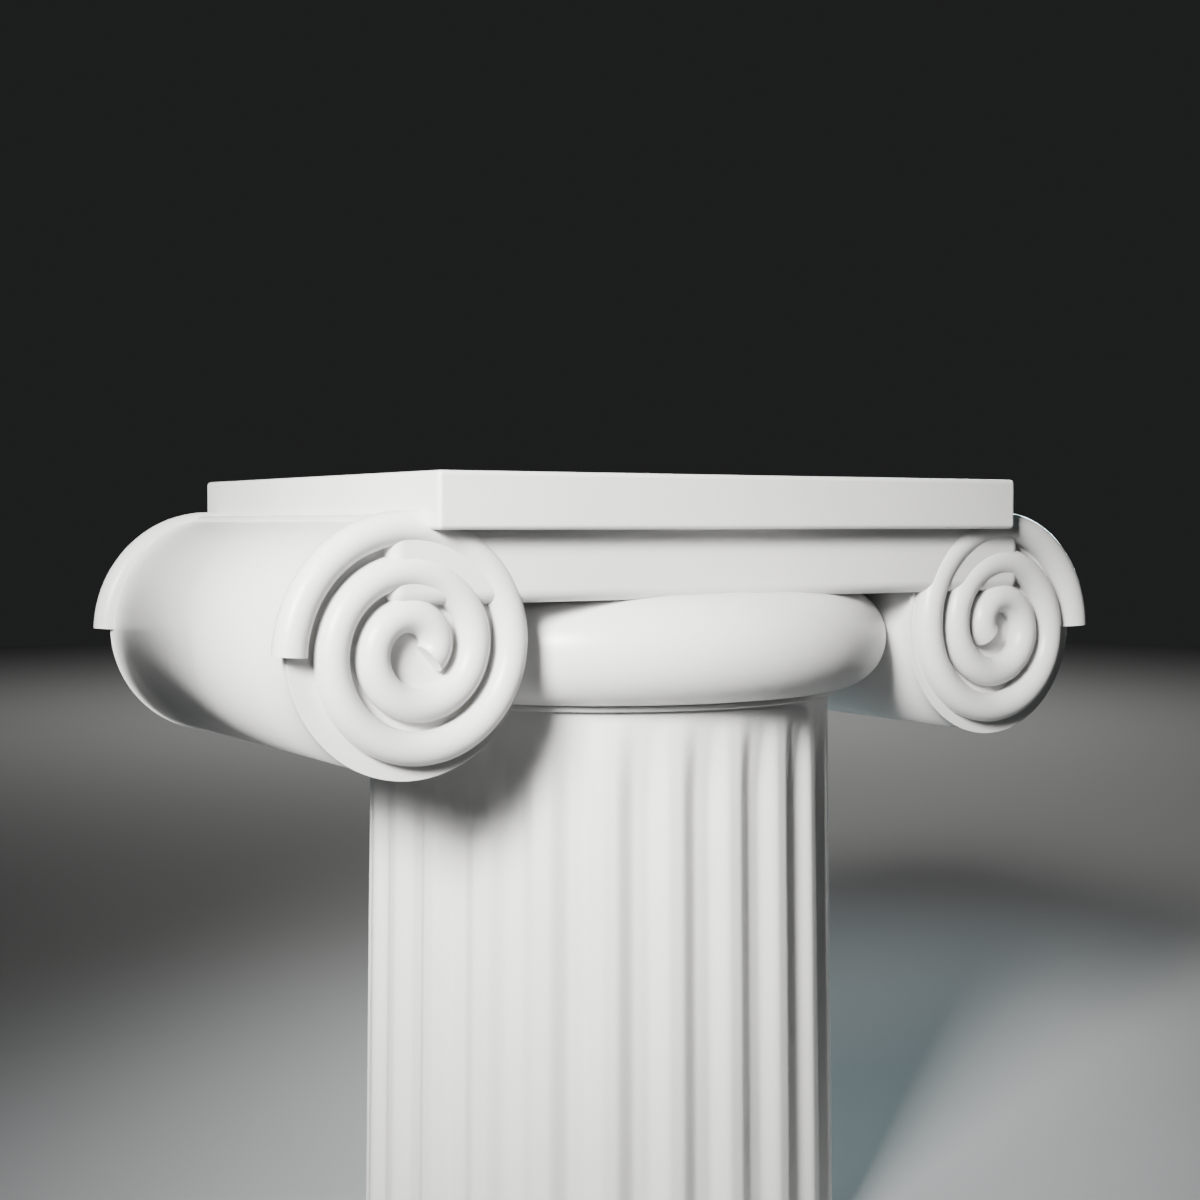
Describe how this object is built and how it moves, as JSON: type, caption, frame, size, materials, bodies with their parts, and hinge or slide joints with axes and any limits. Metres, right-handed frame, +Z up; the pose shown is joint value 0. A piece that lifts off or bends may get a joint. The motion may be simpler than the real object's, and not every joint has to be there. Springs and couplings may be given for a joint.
{
  "type": "ionic capital",
  "caption": "Ionic capital with scroll volutes, side rolls and a round cushion, standing on the cut-off fluted head of its column shaft.",
  "frame": {"origin": "centre of the shaft's flat underside, the lowest face of the part", "axes": "+Z up the column's axis; X from volute to volute; -Y to the front face"},
  "size_m": [0.8498, 0.5472, 0.72],
  "materials": {
    "capital_stone": "satin white marble",
    "shaft_stone": "satin white marble"
  },
  "bodies": {
    "root": {"capital": "capital_stone", "shaft": "shaft_stone"}
  },
  "joints": []
}
